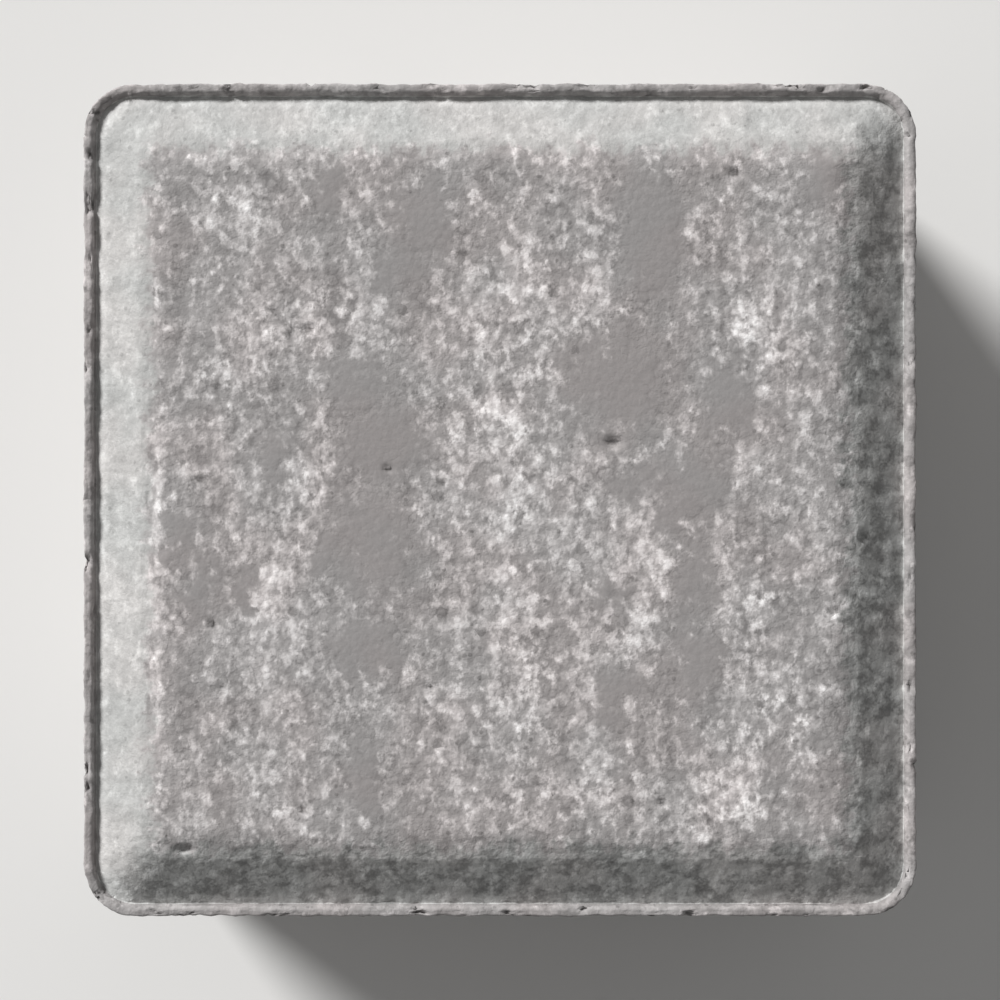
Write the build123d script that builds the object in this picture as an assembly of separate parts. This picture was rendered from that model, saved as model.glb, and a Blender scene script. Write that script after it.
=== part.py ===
from build123d import *

import os

# Small square concrete paving stone, pressed upright in a mould as one block.
#
# The press shoe leaves a raised crown: a flat walking face with a wide chamfer all round. Concrete
# that rises past the shoe's edge leaves a thin lip around the foot of the chamfer. One spacer rib on
# each side keeps the joint open when the stones are laid.
#
# The origin is the middle of the underside, +Z is up, and lengths are in millimetres.

# Block: square in plan, with rounded upright corners.
body_side = 98.0
body_height = 60.0
upright_corner_radius = 6.0

# Lip: the thin rim between the side of the mould and the edge of the press shoe.
lip_top_width = 0.9
lip_inner_run = 0.6
lip_rise = 0.7
lip_edge_radius = 0.15

# Crown: the chamfer and the walking face that the press shoe forms.
chamfer_run = 6.4
chamfer_drop = 4.0
face_corner_radius = 2.6
shoulder_radius = 7.0

# Spacer ribs: one on each side, off its middle, so that it misses the rib of the next stone.
spacer_thickness = 2.0
spacer_root_width = 14.0
spacer_face_width = 10.0
spacer_below_face = 14.0
spacer_top_slope = 5.0
spacer_offset = 24.0
spacer_edge_radius = 0.6

# Places that follow from those sizes.
side_face = body_side / 2
chamfer_foot = body_height - chamfer_drop
lip_top = chamfer_foot + lip_rise
spacer_root_height = body_height - spacer_below_face
spacer_face_height = spacer_root_height - spacer_top_slope


def plan_outline(inset):
    """The block's plan, moved inwards by inset."""
    side = body_side - 2 * inset
    return RectangleRounded(side, side, upright_corner_radius - inset)


def edges_at(part, height):
    """The edges of part that lie level at that height."""
    return part.edges().filter_by_position(Axis.Z, height, height, inclusive=(True, True))


def press_block():
    """The block up to the lip's top, with the shallow pocket that the press shoe sinks into it."""
    with BuildPart() as block:
        with BuildSketch():
            plan_outline(0)
        extrude(amount=lip_top)
        with BuildSketch(Plane.XY.offset(chamfer_foot)):
            plan_outline(lip_top_width + lip_inner_run)
        with BuildSketch(Plane.XY.offset(lip_top)):
            plan_outline(lip_top_width)
        loft(ruled=True, mode=Mode.SUBTRACT)
        fillet(edges_at(block, lip_top), lip_edge_radius)
    return block.part


def crown():
    """The chamfer and the walking face: flat slopes that meet in mitres, over a rounded foot."""
    face_side = body_side - 2 * (lip_top_width + lip_inner_run + chamfer_run)
    with BuildPart() as raised:
        with BuildSketch(Plane.XY.offset(chamfer_foot)):
            plan_outline(lip_top_width + lip_inner_run)
        with BuildSketch(Plane.XY.offset(body_height)):
            RectangleRounded(face_side, face_side, face_corner_radius)
        loft(ruled=True)
        fillet(edges_at(raised, body_height), shoulder_radius)
    return raised.part


def spacer_rib():
    """One rib on the +X side: tapered flanks, and a sloping top that sheds the jointing sand."""
    at_side = Plane(origin=(side_face, spacer_offset, 0), x_dir=(0, 1, 0), z_dir=(1, 0, 0))
    foot = (Align.CENTER, Align.MIN)
    with BuildPart() as rib:
        with BuildSketch(at_side):
            Rectangle(spacer_root_width, spacer_root_height, align=foot)
        with BuildSketch(at_side.offset(spacer_thickness)):
            Rectangle(spacer_face_width, spacer_face_height, align=foot)
        loft(ruled=True)
        outer_face = rib.faces().sort_by(Axis.X)[-1]
        fillet(outer_face.edges().filter_by(Axis.Z), spacer_edge_radius)
    return rib.part


def paving_stone():
    """The whole stone as one solid."""
    stone = press_block() + crown()
    rib = spacer_rib()
    for quarter_turn in range(4):
        stone += Rot(0, 0, 90 * quarter_turn) * rib
    return stone


stone = paving_stone()
stone.label = "paving_stone"
os.makedirs("parts", exist_ok=True)
export_step(stone, "parts/paving_stone.step")
print("solids", len(stone.solids()), "volume", round(stone.volume), "size", stone.bounding_box().size)
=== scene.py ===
import math

import bmesh
import bpy
from mathutils import Matrix, Vector


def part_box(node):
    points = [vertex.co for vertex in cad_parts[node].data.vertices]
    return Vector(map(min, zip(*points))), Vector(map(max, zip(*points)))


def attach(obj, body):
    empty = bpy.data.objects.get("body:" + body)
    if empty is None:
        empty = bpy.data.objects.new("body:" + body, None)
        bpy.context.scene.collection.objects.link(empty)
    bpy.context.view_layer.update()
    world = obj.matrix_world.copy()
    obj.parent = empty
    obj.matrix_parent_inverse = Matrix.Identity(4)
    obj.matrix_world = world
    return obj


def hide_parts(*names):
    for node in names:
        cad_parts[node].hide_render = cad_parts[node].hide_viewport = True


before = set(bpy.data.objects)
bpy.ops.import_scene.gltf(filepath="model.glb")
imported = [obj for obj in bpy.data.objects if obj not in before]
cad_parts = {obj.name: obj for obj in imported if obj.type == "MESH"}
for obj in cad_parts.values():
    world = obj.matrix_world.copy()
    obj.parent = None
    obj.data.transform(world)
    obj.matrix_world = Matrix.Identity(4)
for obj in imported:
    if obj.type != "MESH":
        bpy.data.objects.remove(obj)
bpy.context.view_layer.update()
mm = 0.001

# The stone's body
# One block of earth-moist concrete, pressed in a steel mould with its walking face up. Its upright
# corners are rounded as the mould's are, and it is pushed out of the mould at once, before it sets.
underside, walking_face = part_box("paving_stone")
height = walking_face.z
spacer_thickness = 2.0 * mm
body_side = walking_face.x - underside.x - 2 * spacer_thickness
side_face = body_side / 2
upright_corner_radius = 6.0 * mm
corner_segments = 8
lip_top_width = 0.9 * mm
lip_inner_run = 0.6 * mm
lip_rise = 0.7 * mm
chamfer_drop = 4.0 * mm
chamfer_foot = height - chamfer_drop
lip_top = chamfer_foot + lip_rise


def pick(kind, test):
    """Selects the corners, edges or faces of the mesh being edited that pass the test, and nothing else."""
    bpy.ops.mesh.select_mode(type=kind)
    bpy.ops.mesh.select_all(action="DESELECT")
    edited = bmesh.from_edit_mesh(bpy.context.edit_object.data)
    for part in {"VERT": edited.verts, "EDGE": edited.edges, "FACE": edited.faces}[kind]:
        part.select_set(test(part))
    edited.select_flush_mode()
    bmesh.update_edit_mesh(bpy.context.edit_object.data)


def near(value, target):
    """True if two lengths are the same to a hundredth of a millimetre."""
    return abs(value - target) < 0.01 * mm


def level(part, z):
    """True for a face or edge that lies level at height z."""
    return all(near(corner.co.z, z) for corner in part.verts)


bpy.ops.object.select_all(action="DESELECT")
bpy.ops.mesh.primitive_cube_add(size=1, location=(0, 0, lip_top / 2),
                                scale=(body_side, body_side, lip_top))
bpy.ops.object.transform_apply(location=True, rotation=True, scale=True)
stone = bpy.context.object
stone.name = "pressed_stone"
bpy.ops.object.mode_set(mode="EDIT")
pick("EDGE", lambda edge: not level(edge, 0) and not level(edge, lip_top))
bpy.ops.mesh.bevel(offset=upright_corner_radius, segments=corner_segments, affect="EDGES")

# The lip
# Concrete that rises past the edge of the press shoe, and stands as a thin uneven rim.
pick("FACE", lambda face: level(face, lip_top))
bpy.ops.mesh.inset(thickness=lip_top_width, depth=0)
bpy.ops.mesh.inset(thickness=lip_inner_run, depth=-lip_rise)
bpy.ops.mesh.delete(type="ONLY_FACE")

# The crown
# The chamfer and the walking face that the press shoe forms, bridged from the foot of the chamfer
# to the face's outline, with the shoulder between them rounded.
chamfer_run = 6.4 * mm
face_side = body_side - 2 * (lip_top_width + lip_inner_run + chamfer_run)
face_corner_radius = 2.6 * mm
shoulder_radius = 7.0 * mm
shoulder_segments = 5
chamfer_slope = math.atan2(chamfer_drop, chamfer_run)

bpy.ops.mesh.primitive_plane_add(size=face_side, location=(0, 0, height))
bpy.ops.mesh.bevel(offset=face_corner_radius, segments=corner_segments, affect="VERTICES")
pick("EDGE", lambda edge: level(edge, chamfer_foot) or level(edge, height))
bpy.ops.mesh.bridge_edge_loops()
pick("EDGE", lambda edge: level(edge, height))
shoulder_reach = shoulder_radius * math.tan(chamfer_slope / 2)
bpy.ops.mesh.bevel(offset=shoulder_reach, segments=shoulder_segments, affect="EDGES")

# The spacer ribs
# One on each side, off its middle, that the mould presses with the block. Each tapers outwards, and
# its sloping top sheds the jointing sand.
spacer_root_width = 14.0 * mm
spacer_face_width = 10.0 * mm
spacer_root_height = 46.0 * mm
spacer_face_height = 41.0 * mm
spacer_offset = 24.0 * mm
spacer_edge_radius = 0.6 * mm
touching = 0.001 * mm

for quarter in range(4):
    turn = Matrix.Rotation(quarter * math.pi / 2, 3, "Z")
    outward, along = turn @ Vector((1, 0, 0)), turn @ Vector((0, 1, 0))

    def on_side(face):
        """True for the flat faces of this side."""
        return face.normal.dot(outward) > 0.99

    def on_rib(face):
        """True for those of them that lie in the rib's width."""
        off_middle = abs(face.calc_center_median().dot(along) - spacer_offset)
        return on_side(face) and off_middle < spacer_root_width / 2

    for flank in (spacer_offset - spacer_root_width / 2, spacer_offset + spacer_root_width / 2):
        pick("FACE", on_side)
        bpy.ops.mesh.bisect(plane_co=along * flank, plane_no=along, threshold=touching)
    pick("FACE", on_rib)
    bpy.ops.mesh.bisect(plane_co=(0, 0, spacer_root_height), plane_no=(0, 0, 1), threshold=touching)
    pick("FACE", lambda face: on_rib(face) and face.calc_center_median().z < spacer_root_height)
    bpy.ops.mesh.extrude_region_move(TRANSFORM_OT_translate={"value": outward * spacer_thickness})
    narrowing = spacer_face_width / spacer_root_width
    taper = [1 - abs(part) * (1 - narrowing) for part in along]
    taper[2] = spacer_face_height / spacer_root_height
    bpy.ops.transform.resize(value=taper, center_override=along * spacer_offset)

pick("EDGE", lambda edge: all(near(max(abs(c.co.x), abs(c.co.y)), walking_face.x) for c in edge.verts)
     and abs(edge.verts[0].co.z - edge.verts[1].co.z) > spacer_face_height / 2)
bpy.ops.mesh.bevel(offset=spacer_edge_radius, segments=3, affect="EDGES")

# Worn edges: the lip's rim and the edge of the underside are never sharp on concrete.
lip_edge_radius = 0.15 * mm
bottom_edge_radius = 0.5 * mm
sharp = math.radians(30)
pick("EDGE", lambda edge: level(edge, lip_top) and edge.calc_face_angle() > sharp)
bpy.ops.mesh.bevel(offset=lip_edge_radius, segments=1, affect="EDGES")
pick("EDGE", lambda edge: level(edge, 0) and edge.calc_face_angle() > sharp)
bpy.ops.mesh.bevel(offset=bottom_edge_radius, segments=2, affect="EDGES")

# Cells
# The skin is sliced into cells small enough to carry the sand's relief, widest on the underside. The
# cuts leave the corners in a different order each run, so they are sorted before slivers are merged.
crown_slice = 0.94 * mm
side_slice = 0.9 * mm
underside_slice = 1.7 * mm
sliver = 0.08 * mm
off_every_axis = (13.7 * mm, 29.1 * mm, 46.3 * mm)


def slice_shown(across, first, last, spacing):
    """Cuts every face that isn't hidden, by planes that stand square to across and lie spacing apart."""
    for step in range(math.ceil((last - first) / spacing)):
        bpy.ops.mesh.select_all(action="SELECT")
        cut = Vector(across) * (first + step * spacing)
        bpy.ops.mesh.bisect(plane_co=cut, plane_no=across, threshold=touching)


def is_side(face):
    """True for the steep faces below the lip: the block's sides and the ribs."""
    return abs(face.normal.z) < 0.4 and face.calc_center_median().z < chamfer_foot + lip_rise / 2


pick("FACE", lambda face: not is_side(face))
bpy.ops.mesh.hide(unselected=False)
slice_shown((0, 0, 1), side_slice, chamfer_foot, side_slice)
bpy.ops.mesh.reveal()
pick("FACE", lambda face: level(face, 0))
bpy.ops.mesh.hide(unselected=False)
slice_shown((1, 0, 0), -side_face + crown_slice / 2, side_face, crown_slice)
slice_shown((0, 1, 0), -side_face + crown_slice / 2, side_face, crown_slice)
bpy.ops.mesh.reveal()
pick("FACE", lambda face: level(face, 0))
bpy.ops.mesh.hide(unselected=True)
slice_shown((1, 0, 0), -side_face + underside_slice / 2, side_face, underside_slice)
slice_shown((0, 1, 0), -side_face + underside_slice / 2, side_face, underside_slice)
bpy.ops.mesh.reveal()
bpy.ops.mesh.select_all(action="SELECT")
bpy.context.scene.cursor.location = off_every_axis
bpy.ops.mesh.sort_elements(type="CURSOR_DISTANCE", elements={"VERT", "EDGE", "FACE"})
bpy.ops.mesh.remove_doubles(threshold=sliver)
pick("FACE", lambda face: face.calc_center_median().z > chamfer_foot - side_slice / 2)
bpy.ops.mesh.subdivide(number_cuts=1)

# Two faces that meet in a bent edge could overlap once they are split into triangles, so it is straightened.
pick("VERT", lambda corner: len(corner.link_edges) == 2)
bpy.ops.mesh.dissolve_verts()
bpy.ops.mesh.select_all(action="SELECT")
bpy.ops.mesh.normals_make_consistent(inside=False)
bpy.ops.object.mode_set(mode="OBJECT")
bpy.ops.object.shade_smooth_by_angle(angle=math.radians(50))

# Sand and paste
# The press brings fine cement paste to the face in patches that bury the sand, and leaves it open
# elsewhere. Places and sizes are in millimetres: x, y, width and height on the walking face.
paste_patches = (
    (17.7, 30.8, 7, 13), (13.5, 12.9, 12, 11), (26.3, 12.3, 6, 9), (21.9, 2.0, 8, 10),
    (-12.0, 26.3, 6, 6), (-16.8, 13.5, 7, 5), (-13.3, 6.5, 10, 8), (-14.6, -5.0, 7, 14),
    (-20.3, -7.0, 4, 5), (-35.0, -9.5, 4, 10), (-15.8, -17.1, 8, 4), (-38.0, -3.7, 4, 6),
    (37.8, 37.2, 5, 6), (-19.7, 35.9, 4, 6), (-9.0, 33.0, 6, 8), (-15.8, -31.8, 3, 10),
    (23.0, -9.0, 4.5, 9), (22.5, -18.0, 5, 9), (-29.5, -10.5, 3, 6), (16.0, 1.5, 5, 4),
    (13.5, -22.5, 5, 5), (13.0, -11.0, 3, 5), (-26.5, 6.0, 3, 6),
)
open_sand_patches = (
    (-24.8, 19.7, 14, 8), (-31.0, 15.0, 8, 5), (-21.5, 3.0, 3, 9), (-4.0, 10.0, 8, 11),
    (4.0, 22.0, 13, 16), (2.0, 3.0, 8, 12), (2.0, -13.0, 7, 14), (2.5, -26.0, 8, 20),
    (-27.0, -10.5, 5, 5), (27.0, -32.0, 10, 11), (30.5, -23.0, 8, 14), (30.0, 20.0, 9, 9),
    (9.0, -34.0, 14, 5), (34.5, -26.0, 5, 10), (-3.0, 34.0, 6, 5), (-32.0, 33.5, 9, 6),
)
pale_clumps = (
    (17.6, -6.4, 5, 4.5), (17.2, -15.2, 4.5, 5.5), (28.6, 20.4, 4, 3.5), (29.5, -12.5, 4, 5),
    (24.0, 32.5, 3, 5), (27.5, -36.5, 6, 4), (-25.0, -36.0, 5, 4), (1.0, 9.0, 5, 5),
    (28.0, 3.0, 3, 3), (40.0, -13.0, 3, 3),
)
pinholes = (
    (-22.9, -36.2, 1.1, 1.0), (-36.9, -40.8, 1.6, 1.2), (13.2, 6.8, 2.2, 1.1), (42.6, -4.3, 1.2, 1.2),
    (19.0, -35.3, 1.2, 0.9), (-33.4, -14.6, 1.0, 1.0), (-8.1, -21.8, 0.9, 0.8), (-13.0, 3.6, 1.0, 0.8),
    (27.6, 38.1, 1.1, 0.8), (-22.2, 19.9, 1.3, 0.9),
)


def add(tree, kind, settings=None, inputs=None):
    """Adds a node with its settings, links or sets its inputs, and returns its outputs."""
    node = tree.nodes.new(kind)
    for name, value in (settings or {}).items():
        setattr(node, name, value)
    for name, value in (inputs or {}).items():
        if isinstance(value, bpy.types.NodeSocket):
            tree.links.new(value, node.inputs[name])
        else:
            node.inputs[name].default_value = value
    return node.outputs


def layered(tree, base, layers):
    """The base plus each layer times its weight."""
    for layer, weight in layers:
        base = add(tree, "ShaderNodeMath", {"operation": "MULTIPLY_ADD"}, {0: layer, 1: weight, 2: base})[0]
    return base


def both(tree, *masks):
    """The masks multiplied."""
    product = masks[0]
    for mask in masks[1:]:
        product = add(tree, "ShaderNodeMath", {"operation": "MULTIPLY"}, {0: product, 1: mask})[0]
    return product


def ease(tree, value, low, high, bottom=0.0, top=1.0):
    """Runs softly from bottom to top as the value goes from low to high."""
    return add(tree, "ShaderNodeMapRange", {"interpolation_type": "SMOOTHSTEP"},
               {"Value": value, "From Min": low, "From Max": high, "To Min": bottom, "To Max": top})[0]


def blotches(tree, place, size, stretch=(1, 1, 1), detail=2.0, roughness=0.5):
    """Soft noise around 0.5, in blotches size millimetres across, drawn out where stretch is under 1."""
    drawn = add(tree, "ShaderNodeVectorMath", {"operation": "MULTIPLY"}, {0: place, 1: stretch})[0]
    return add(tree, "ShaderNodeTexNoise", {},
               {"Vector": drawn, "Scale": 1 / size, "Detail": detail, "Roughness": roughness})


def ragged(tree, place, size, reach, detail=2.0, roughness=0.6):
    """The places shaken about by noise, so that what is drawn on them has an uneven outline."""
    noise = blotches(tree, place, size, (1, 1, 1), detail, roughness)["Color"]
    either_way = add(tree, "ShaderNodeVectorMath", {"operation": "SUBTRACT"},
                     {0: noise, 1: (0.5, 0.5, 0.5)})[0]
    return add(tree, "ShaderNodeVectorMath", {"operation": "MULTIPLY_ADD"},
               {0: either_way, 1: (reach, reach, reach), 2: place})[0]


def from_spots(tree, place, spots):
    """0 in the middle of each oval spot, 1 on its outline and more beyond, for the nearest spot."""
    nearest = None
    for x, y, width, depth in spots:
        from_middle = add(tree, "ShaderNodeVectorMath", {"operation": "SUBTRACT"},
                          {0: place, 1: (x, y, 0)})[0]
        scaled = add(tree, "ShaderNodeVectorMath", {"operation": "MULTIPLY"},
                     {0: from_middle, 1: (2 / width, 2 / depth, 0)})[0]
        reach = add(tree, "ShaderNodeVectorMath", {"operation": "LENGTH"}, {0: scaled})["Value"]
        if nearest is None:
            nearest = reach
        else:
            nearest = add(tree, "ShaderNodeMath", {"operation": "MINIMUM"}, {0: nearest, 1: reach})[0]
    return nearest


def rim_and_slope(tree, place):
    """Millimetres in from the stone's outline seen from above, and places drawn out down the chamfers."""
    # How far out each place is, along X and along Y, from the middle of the nearest corner's arc. It
    # stops at deepest, further in than any use that is made of the rim.
    corner = upright_corner_radius / mm
    middle = side_face / mm - corner
    mirrored = add(tree, "ShaderNodeVectorMath", {"operation": "ABSOLUTE"}, {0: place})[0]
    past = add(tree, "ShaderNodeVectorMath", {"operation": "SUBTRACT"},
               {0: mirrored, 1: (middle, middle, 0)})[0]
    deepest = -4 * corner
    outside = add(tree, "ShaderNodeVectorMath", {"operation": "MAXIMUM"},
                  {0: past, 1: (deepest, deepest, 0)})[0]
    split = add(tree, "ShaderNodeSeparateXYZ", {}, {0: outside})

    # The rim runs round the arc at a corner, and straight between the corners.
    clear = add(tree, "ShaderNodeVectorMath", {"operation": "MAXIMUM"}, {0: outside, 1: (0, 0, 0)})[0]
    clear = add(tree, "ShaderNodeVectorMath", {"operation": "MULTIPLY"}, {0: clear, 1: (1, 1, 0)})[0]
    round_reach = add(tree, "ShaderNodeVectorMath", {"operation": "LENGTH"}, {0: clear})["Value"]
    straight_reach = add(tree, "ShaderNodeMath", {"operation": "MAXIMUM"}, {0: split["X"], 1: split["Y"]})[0]
    straight_reach = add(tree, "ShaderNodeMath", {"operation": "MINIMUM"}, {0: straight_reach, 1: 0.0})[0]
    reach = add(tree, "ShaderNodeMath", {"operation": "ADD"}, {0: round_reach, 1: straight_reach})[0]
    rim = add(tree, "ShaderNodeMath", {"operation": "SUBTRACT"}, {0: corner, 1: reach})[0]

    # Along and down the nearest chamfer. Each side reads its noise at a depth of its own.
    drawn_out = 0.6
    x_side_depth = 13.0
    far_side_depth = 29.0
    faces_x = add(tree, "ShaderNodeMath", {"operation": "GREATER_THAN"}, {0: split["X"], 1: split["Y"]})[0]
    split = add(tree, "ShaderNodeSeparateXYZ", {}, {0: place})
    along = add(tree, "ShaderNodeMix", {"data_type": "FLOAT"}, {0: faces_x, 2: split["X"], 3: split["Y"]})[0]
    far_side = add(tree, "ShaderNodeMath", {"operation": "ADD"}, {0: split["X"], 1: split["Y"]})[0]
    far_side = add(tree, "ShaderNodeMath", {"operation": "GREATER_THAN"}, {0: far_side, 1: 0.0})[0]
    side = layered(tree, 0.0, ((faces_x, x_side_depth), (far_side, far_side_depth)))
    down = add(tree, "ShaderNodeMath", {"operation": "MULTIPLY"}, {0: rim, 1: drawn_out})[0]
    return rim, add(tree, "ShaderNodeCombineXYZ", {}, {"X": along, "Y": down, "Z": side})[0]


coarse_grain = 2.2
grit_size = 1.45


def coarse_grains(tree, place, uneven):
    """1 on the coarse grains scattered in the sand, and a number from 0 to 1 for the kind of each."""
    cells = add(tree, "ShaderNodeTexVoronoi", {}, {"Vector": place, "Scale": 1 / coarse_grain})
    chance = add(tree, "ShaderNodeSeparateXYZ", {}, {0: cells["Color"]})
    from_middle = layered(tree, cells["Distance"], ((uneven, 0.35),))
    return both(tree, ease(tree, from_middle, 0.6, 0.44), ease(tree, chance["X"], 0.5, 0.7)), chance["Y"]


def sand_cover(tree, place, broad):
    """Rises from grey paste to pale sand: the broad cover with the grit's own noise on it."""
    grit = blotches(tree, place, grit_size, (1, 0.75, 0.75), 3.0, 0.7)["Fac"]
    return layered(tree, grit, ((broad, 1.0),))


# Where things start and end: values of the cover and of from_spots, and millimetres of height and rim.
grit_edge = (0.8, 1.02)
patch_edge = (1.6, 0.4)
pinhole_edge = (1.3, 0.7)
foot_height = chamfer_foot / mm
lip_inside = (lip_top_width + lip_inner_run) / mm
face_edge = lip_inside + chamfer_run / mm

relief = bpy.data.node_groups.new("sand_relief", "GeometryNodeTree")
relief.interface.new_socket("Stone", in_out="INPUT", socket_type="NodeSocketGeometry")
relief.interface.new_socket("Stone", in_out="OUTPUT", socket_type="NodeSocketGeometry")
smooth_stone = add(relief, "NodeGroupInput")[0]
place = add(relief, "ShaderNodeVectorMath", {"operation": "SCALE"},
            {0: add(relief, "GeometryNodeInputPosition")[0], "Scale": 1 / mm})[0]
height_here = add(relief, "ShaderNodeSeparateXYZ", {}, {0: place})["Z"]
rim, slope_place = rim_and_slope(relief, place)

# The patches' outlines wander by some millimetres, so that no oval shows.
strayed = ragged(relief, place, 5.0, 15.0, 4.0, 0.8)
paste = ease(relief, from_spots(relief, strayed, paste_patches), *patch_edge)
open_sand = ease(relief, from_spots(relief, strayed, open_sand_patches), *patch_edge)
clumped = ease(relief, from_spots(relief, strayed, pale_clumps), 1.5, 0.5)
open_sand = layered(relief, open_sand, ((clumped, 1.2),))

# The sand lies in clouds and in streaks along Y.
streak = blotches(relief, place, 3.2, (1, 0.2, 0.2), 1.0, 0.5)["Fac"]
cloud = blotches(relief, place, 15.0, (1, 0.6, 0.6), 1.0, 0.5)["Fac"]
broad_cover = layered(relief, 0.07, ((streak, 0.35), (cloud, 0.22), (open_sand, 0.09), (paste, -0.26)))

# Crown: sunk ground between the grit, broad swells, a torn shoulder, and the pinholes.
grit = ease(relief, sand_cover(relief, place, broad_cover), *grit_edge)
ground = add(relief, "ShaderNodeMath", {"operation": "SUBTRACT"}, {0: 1.0, 1: grit})[0]
unburied = add(relief, "ShaderNodeMath", {"operation": "SUBTRACT"}, {0: 1.0, 1: paste})[0]
swell = blotches(relief, place, 12.0)["Fac"]
fine_grit = blotches(relief, place, 1.1, (1, 1, 1), 2.0, 0.6)["Fac"]
fine_grit = both(relief, fine_grit, ease(relief, unburied, 0, 1, 0.3, 1.0))
torn = blotches(relief, slope_place, 2.0, (1, 1, 1), 3.0, 0.6)["Fac"]
sloping = ease(relief, rim, face_edge + 3.1, face_edge - 0.4)
from_pinhole = from_spots(relief, place, pinholes)
pits = ease(relief, from_pinhole, *pinhole_edge)
coarse = coarse_grains(relief, place, swell)[0]
standing = both(relief, coarse, unburied)
crown_depth = layered(relief, 0.0, ((ground, 0.06), (swell, 0.2), (fine_grit, 0.16), (pits, 0.5),
                                    (both(relief, torn, sloping), 0.4), (standing, -0.07)))

# Sides: upright drag marks from the mould, and ragged voids between the stones of the mix, which lie
# in loose groups.
void_spacing = 3.8
drag = blotches(relief, place, 2.6, (1, 1, 0.07), 2.0, 0.6)["Fac"]
rough = blotches(relief, place, 2.4, (1, 1, 0.7), 3.0, 0.7)["Fac"]
shaken = ragged(relief, place, 1.6, 3.0, 3.0, 0.7)
voids = add(relief, "ShaderNodeTexVoronoi", {}, {"Vector": shaken, "Scale": 1 / void_spacing})
void_size = add(relief, "ShaderNodeSeparateXYZ", {}, {0: voids["Color"]})["X"]
grouped = blotches(relief, place, 18.0, (1, 1, 1), 1.0, 0.5)["Fac"]
hollow = ease(relief, layered(relief, voids["Distance"], ((void_size, -0.4), (grouped, -0.5))), -0.25, -0.36)
side_depth = layered(relief, 0.0, ((hollow, 1.1), (drag, 0.35), (rough, 0.35)))
off_bottom = ease(relief, height_here, 0.0, 2.5, 0.08, 1.0)
off_outline = ease(relief, rim, 1.0, 3.5, 0.08, 1.0)
off_edge = add(relief, "ShaderNodeMath", {"operation": "MAXIMUM"}, {0: off_bottom, 1: off_outline})[0]
under_lip = ease(relief, height_here, foot_height - 0.5, foot_height - 5.0, 0.3, 1.0)
side_depth = both(relief, side_depth, off_edge, under_lip)

# Lip: its crest rises unevenly, and bits of it have crumbled away.
crest = blotches(relief, place, 6.0, (1, 1, 1), 1.0, 0.5)["Fac"]
chips = ease(relief, blotches(relief, place, 3.0, (1, 1, 1), 4.0, 0.75)["Fac"], 0.58, 0.68)
crest_drop = layered(relief, 0.0, ((ease(relief, crest, 0.4, 0.75), 0.35), (chips, 0.45)))

on_crown = ease(relief, height_here, foot_height - 0.6, foot_height - 0.1)
on_lip = add(relief, "ShaderNodeMath", {"operation": "LESS_THAN"}, {0: rim, 1: lip_inside - 0.1})[0]
on_lip = both(relief, on_lip, on_crown)
lip_depth = layered(relief, 0.03, ((chips, 0.35),))

# All of it moves the skin inwards. The lip's crest also sinks and wavers.
depth = add(relief, "ShaderNodeMix", {"data_type": "FLOAT"},
            {0: on_crown, 2: side_depth, 3: crown_depth})[0]
depth = add(relief, "ShaderNodeMix", {"data_type": "FLOAT"}, {0: on_lip, 2: depth, 3: lip_depth})[0]
inward = add(relief, "ShaderNodeMath", {"operation": "MULTIPLY"}, {0: depth, 1: -mm})[0]
shift = add(relief, "ShaderNodeVectorMath", {"operation": "SCALE"},
            {0: add(relief, "GeometryNodeInputNormal")[0], "Scale": inward})[0]
above_foot = add(relief, "ShaderNodeMapRange", {},
                 {"Value": height_here, "From Min": foot_height, "From Max": foot_height + 0.6})[0]
drop = both(relief, above_foot, on_lip, crest_drop)
drop = add(relief, "ShaderNodeVectorMath", {"operation": "SCALE"}, {0: (0, 0, -mm), "Scale": drop})[0]
shift = add(relief, "ShaderNodeVectorMath", {"operation": "ADD"}, {0: shift, 1: drop})[0]
wobble = blotches(relief, place, 2.0, (1, 1, 1), 3.0, 0.7)["Color"]
wobble = add(relief, "ShaderNodeVectorMath", {"operation": "SUBTRACT"}, {0: wobble, 1: (0.5, 0.5, 0.5)})[0]
wobble = add(relief, "ShaderNodeVectorMath", {"operation": "MULTIPLY"},
             {0: wobble, 1: (0.7 * mm, 0.7 * mm, 0.3 * mm)})[0]
near_lip = both(relief, on_crown, ease(relief, rim, lip_inside + 0.5, lip_inside))
wobble = add(relief, "ShaderNodeVectorMath", {"operation": "SCALE"}, {0: wobble, "Scale": near_lip})[0]
shift = add(relief, "ShaderNodeVectorMath", {"operation": "ADD"}, {0: shift, 1: wobble})[0]
moved = add(relief, "ShaderNodeVectorMath", {"operation": "ADD"},
            {0: add(relief, "GeometryNodeInputPosition")[0], 1: shift})[0]
moved = add(relief, "ShaderNodeVectorMath", {"operation": "MAXIMUM"}, {0: moved, 1: underside})[0]
moved = add(relief, "ShaderNodeVectorMath", {"operation": "MINIMUM"}, {0: moved, 1: walking_face})[0]
pressed = add(relief, "GeometryNodeSetPosition", {}, {"Geometry": smooth_stone, "Position": moved})[0]

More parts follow.
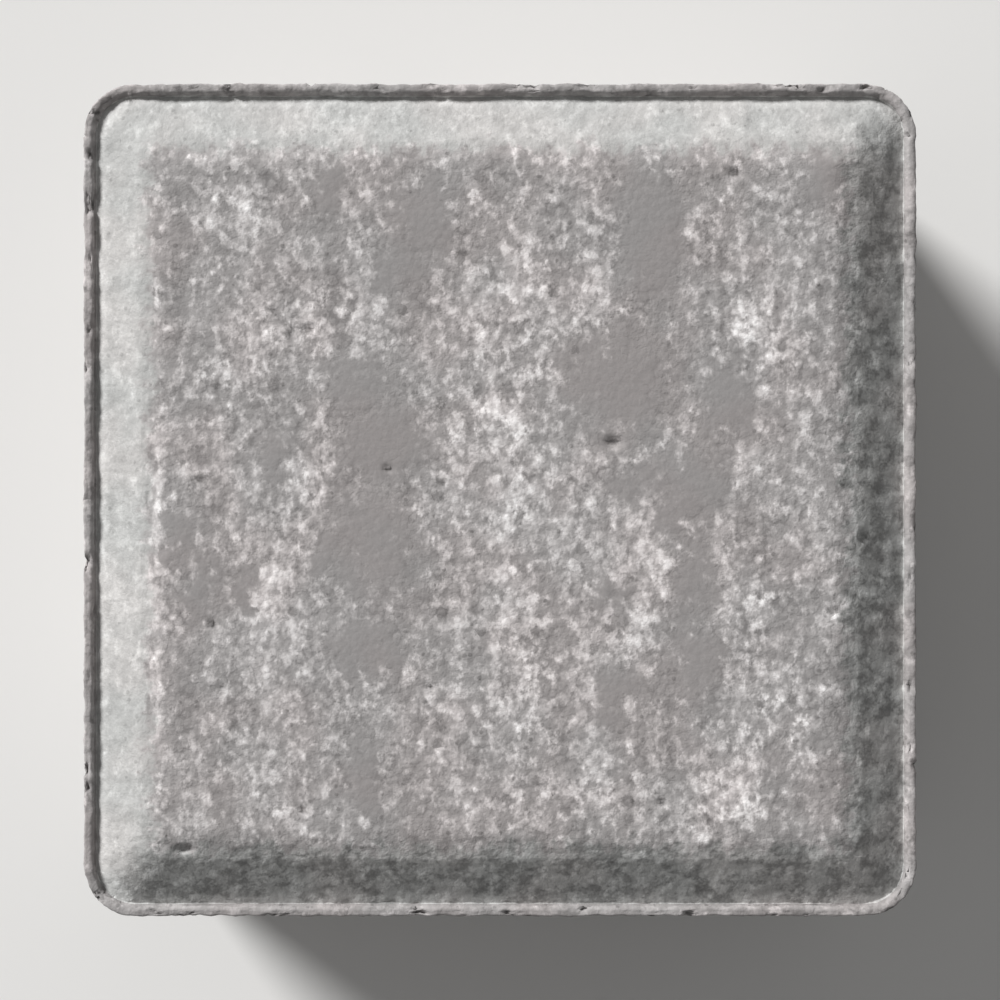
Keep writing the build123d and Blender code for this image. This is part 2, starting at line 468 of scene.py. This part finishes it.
# The concrete's colours read these again from the mesh. The last two are there for them alone.
loose = ease(relief, blotches(relief, place, 4.0, (1, 0.6, 0.6), 1.0, 0.5)["Fac"], 0.42, 0.62)
hue = blotches(relief, place, 9.0, (1, 1, 1), 1.0, 0.5)["Fac"]
kept = {"paste": paste, "open_sand": open_sand, "broad_cover": broad_cover, "from_pinhole": from_pinhole,
        "hollow": hollow, "loose": loose, "hue": hue}
for name, value in kept.items():
    pressed = add(relief, "GeometryNodeStoreNamedAttribute", {"data_type": "FLOAT", "domain": "POINT"},
                  {"Geometry": pressed, "Name": name, "Value": value})[0]
add(relief, "NodeGroupOutput", {}, {0: pressed})
pressing = stone.modifiers.new("sand_relief", "NODES")
pressing.node_group = relief
bpy.ops.object.modifier_apply(modifier=pressing.name)

# Pressed concrete
# Grey cement and pale river sand, pressed nearly dry: matt, open-grained and without any gloss.


def linear(colour):
    """Linear RGBA of an sRGB hex colour."""
    parts = [int(colour[start:start + 2], 16) / 255 for start in (1, 3, 5)]
    return [part / 12.92 if part < 0.04045 else ((part + 0.055) / 1.055) ** 2.4 for part in parts] + [1]


concrete = bpy.data.materials.new("pressed_concrete")
concrete.use_nodes = True
tree = concrete.node_tree
tree.nodes.clear()
place = add(tree, "ShaderNodeVectorMath", {"operation": "SCALE"},
            {0: add(tree, "ShaderNodeTexCoord")["Object"], "Scale": 1 / mm})[0]
x_here, y_here, height_here = add(tree, "ShaderNodeSeparateXYZ", {}, {0: place}).values()
rim, slope_place = rim_and_slope(tree, place)
paste, open_sand, broad_cover, from_pinhole, hollow, loose, hue = (
    add(tree, "ShaderNodeAttribute", {"attribute_name": name})["Fac"] for name in kept)
unburied = add(tree, "ShaderNodeMath", {"operation": "SUBTRACT"}, {0: 1.0, 1: paste})[0]
beyond_lip = add(tree, "ShaderNodeMath", {"operation": "GREATER_THAN"}, {0: rim, 1: lip_inside - 0.15})[0]

# Colour of the crown: grey paste, pale grit and single grains, with painted shade in pits, crevices and
# pinholes.
sand_grain = 0.9
cover = sand_cover(tree, place, broad_cover)
grit = ease(tree, cover, *grit_edge)
veil = ease(tree, cover, 0.66, 0.86)
shade = blotches(tree, place, 1.4, (1, 0.8, 0.8), 2.0, 0.7)["Fac"]
powder = blotches(tree, place, 0.3, (1, 1, 1), 2.0, 0.7)["Fac"]
grains = add(tree, "ShaderNodeTexVoronoi", {}, {"Vector": place, "Scale": 1 / sand_grain})
chance = add(tree, "ShaderNodeSeparateXYZ", {}, {0: grains["Color"]})
from_middle = layered(tree, grains["Distance"], ((powder, 0.35),))
grain = both(tree, ease(tree, from_middle, 0.62, 0.5), ease(tree, chance["X"], 0.5, 0.9))
pit = both(tree, ease(tree, from_middle, 0.54, 0.38), ease(tree, chance["Y"], 0.78, 0.9))
coarse, coarse_kind = coarse_grains(tree, place, powder)
# Painted shade: the gaps between loose grains are darkened.
crevice_shade = both(tree, ease(tree, from_middle, 0.68, 0.86), loose, unburied)
pale = both(tree, grit, ease(tree, beyond_lip, 0, 1, 0.4, 1.0), ease(tree, shade, 0.3, 0.7, 0.08, 0.45))
pale_grain = both(tree, grit, grain)
# Painted shade: tiny pits at the middle of some grains are darkened, though neither mesh nor bump sinks them.
pit_shade = both(tree, unburied, pit)
# Painted shade: the pinholes, already sunk in the mesh, are darkened in colour too.
pinhole_shade = ease(tree, layered(tree, from_pinhole, ((powder, 0.6),)), *pinhole_edge)
coarse_tone = both(tree, coarse, veil, ease(tree, coarse_kind, 0.1, 0.6, -0.16, 0.19))
mottle = blotches(tree, place, 2.4, (1, 1, 1), 3.0, 0.7)["Fac"]
clump = both(tree, open_sand, grit, ease(tree, mottle, 0.42, 0.58))
face_tone = layered(tree, 0.25, ((veil, 0.05), (pale, 0.93), (pale_grain, 0.15), (pit_shade, -0.14),
                                (powder, 0.09), (coarse_tone, 1.0), (clump, 0.18), (crevice_shade, -0.11),
                                (pinhole_shade, -0.18)))

# Sides and underside: the coarser mix shows, with its stones, voids and upright drag marks. The stones
# are cubes that stand askew, so that the side cuts each to a different broken shape.
stone_size = 4.4
stone_turn = (0.6, 0.45, 0.35)
shaken = ragged(tree, place, 1.6, 3.0, 1.0, 0.7)
askew = add(tree, "ShaderNodeVectorRotate", {"rotation_type": "EULER_XYZ"},
            {"Vector": shaken, "Rotation": stone_turn})[0]
stones = add(tree, "ShaderNodeTexVoronoi", {"distance": "CHEBYCHEV"},
             {"Vector": askew, "Scale": 1 / stone_size})
stone_kind = add(tree, "ShaderNodeSeparateXYZ", {}, {0: stones["Color"]})
stone_edge = layered(tree, stones["Distance"], ((stone_kind["Z"], 0.22), (mottle, 0.25)))
stone_shown = both(tree, ease(tree, stone_edge, 0.58, 0.5), ease(tree, stone_kind["X"], 0.55, 0.9))
stone_shade = ease(tree, stone_kind["Y"], 0.2, 0.8, -0.1, 0.12)
drag = blotches(tree, place, 2.6, (1, 1, 0.07), 3.0, 0.7)["Fac"]
stone_tone = both(tree, stone_shown, stone_shade)
# The voids, sunk in the mesh, and the tiny pits are darkened in colour too: painted shade.
side_tone = layered(tree, 0.1, ((drag, 0.2), (veil, 0.04), (pale, 0.5), (pale_grain, 0.1), (pit_shade, -0.14),
                                (powder, 0.16), (stone_tone, 1.0), (hollow, -0.2)))
on_crown = ease(tree, height_here, foot_height - 1.0, foot_height + 0.5)
face_tone = add(tree, "ShaderNodeMix", {"data_type": "FLOAT"}, {0: on_crown, 2: side_tone, 3: face_tone})[0]

# Chamfer: paler and more even, because the shoe wipes fine paste down it, in streaks. Towards +X and -Y, away
# from the light, it is darkened in blotches as painted shade, and its edge to the face is ragged all round.
streak = blotches(tree, slope_place, 1.5, (1, 1, 1), 3.0, 0.6)["Fac"]
at_foot = ease(tree, height_here, foot_height + 0.5, foot_height)
# The tiny pits carry painted shade on the chamfer too.
chamfer_tone = layered(tree, 0.12, ((streak, 0.16), (mottle, 0.22), (hue, 0.14), (powder, 0.14), (pale, 0.45),
                                   (pit_shade, -0.1), (at_foot, 0.08)))
towards_corner = add(tree, "ShaderNodeMath", {"operation": "SUBTRACT"}, {0: x_here, 1: y_here})[0]
away_from_light = ease(tree, towards_corner, -12.0, 12.0)
# Painted shade on the chamfers away from the light, with some pale grains left showing in it.
painted_shade = both(tree, away_from_light, ease(tree, mottle, 0.56, 0.4))
chamfer_tone = layered(tree, chamfer_tone, ((painted_shade, -0.2), (both(tree, away_from_light, grain), 0.1)))
streak_reach = 6.0
mottle_reach = 5.0
ragged_edge = face_edge + (streak_reach + mottle_reach) / 2
ragged_rim = layered(tree, rim, ((streak, streak_reach), (mottle, mottle_reach), (away_from_light, -0.6)))
chamfer = ease(tree, ragged_rim, ragged_edge + 0.9, ragged_edge - 0.8)
chamfer = both(tree, chamfer, beyond_lip, ease(tree, height_here, foot_height - 0.6, foot_height - 0.4))
tone = add(tree, "ShaderNodeMix", {"data_type": "FLOAT"}, {0: chamfer, 2: face_tone, 3: chamfer_tone})[0]

# The tone picks a grey. The chamfer's is a little cooler, and the hue drifts over the stone. These
# three are factors on the grey and not colours of their own.
cooler = (0.955, 1.0, 0.99, 1)
greener = (0.985, 1.0, 1.0, 1)
pinker = (1.0, 0.988, 0.985, 1)
ramp = tree.nodes.new("ShaderNodeValToRGB")
colours = ramp.color_ramp
colours.elements[0].color = linear("#4f4c4b")
colours.elements[1].color = linear("#f2eeed")
for position, colour in ((0.32, "#938f8e"), (0.6, "#bfbab9")):
    colours.elements.new(position).color = linear(colour)
tree.links.new(tone, ramp.inputs["Fac"])
neutral = add(tree, "ShaderNodeMix", {"data_type": "RGBA", "blend_type": "MULTIPLY"},
              {0: chamfer, 6: ramp.outputs["Color"], 7: cooler})[2]
tint = add(tree, "ShaderNodeMix", {"data_type": "RGBA"},
           {0: ease(tree, hue, 0.35, 0.65), 6: greener, 7: pinker})[2]
tinted = add(tree, "ShaderNodeMix", {"data_type": "RGBA", "blend_type": "MULTIPLY"},
             {0: 1.0, 6: neutral, 7: tint})[2]

# Bump: the single grains and a powdery skin of 0.3 mm, both too fine for the mesh.
grain_height = layered(tree, 0.0, ((grains["Distance"], -0.07), (powder, 0.07)))
bump_depth = both(tree, grain_height, ease(tree, unburied, 0.0, 1.0, 0.5, 1.0))
bump = add(tree, "ShaderNodeBump", {}, {"Strength": 1.0, "Distance": mm, "Height": bump_depth})[0]
roughness = ease(tree, grit, 0, 1, 0.86, 0.96)
shader = add(tree, "ShaderNodeBsdfPrincipled", {},
             {"Base Color": tinted, "Roughness": roughness, "Normal": bump})[0]
add(tree, "ShaderNodeOutputMaterial", {}, {"Surface": shader})
stone.data.materials.append(concrete)

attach(stone, "root")
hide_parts("paving_stone")

# Floor, light and camera
# A matt floor, a wide soft light from the upper left as in the photo, and a camera straight above. The
# world is paler to the camera than it is to the stone, so that floor and background meet unseen.
floor_reach = 12.0
light_from = Vector((-0.633, 0.633, 0.446))
camera_above_face = 0.33
sky_on_stone = 0.24
sky_seen = 0.8
bpy.ops.object.select_all(action="DESELECT")
bpy.ops.mesh.primitive_plane_add(size=floor_reach, location=(0, 0, 0))
floor = bpy.context.object
floor.name = "floor"
floor_paint = bpy.data.materials.new("matt_floor_paint")
floor_paint.use_nodes = True
floor_paint.node_tree.nodes["Principled BSDF"].inputs["Base Color"].default_value = linear("#dedddb")
floor_paint.node_tree.nodes["Principled BSDF"].inputs["Roughness"].default_value = 0.9
floor.data.materials.append(floor_paint)

world = bpy.data.worlds.new("studio")
bpy.context.scene.world = world
world.use_nodes = True
background = world.node_tree.nodes["Background"]
background.inputs["Color"].default_value = linear("#ffffff")
seen = add(world.node_tree, "ShaderNodeLightPath")
shown = layered(world.node_tree, seen["Is Camera Ray"],
                ((seen["Is Glossy Ray"], 1.0), (seen["Is Transmission Ray"], 1.0)))
strength = ease(world.node_tree, shown, 0.0, 1.0, sky_on_stone, sky_seen)
world.node_tree.links.new(strength, background.inputs["Strength"])

key = bpy.data.objects.new("key_light", bpy.data.lights.new("key_light", "SUN"))
key.data.energy = 5.3
key.data.angle = math.radians(18)
key.rotation_euler = light_from.to_track_quat("Z", "Y").to_euler()
bpy.context.scene.collection.objects.link(key)

camera = bpy.data.objects.new("camera", bpy.data.cameras.new("camera"))
camera.location = (0, 0, height + camera_above_face)
camera.data.lens = 102
bpy.context.scene.collection.objects.link(camera)
bpy.context.scene.camera = camera
bpy.context.scene.view_settings.view_transform = "Standard"
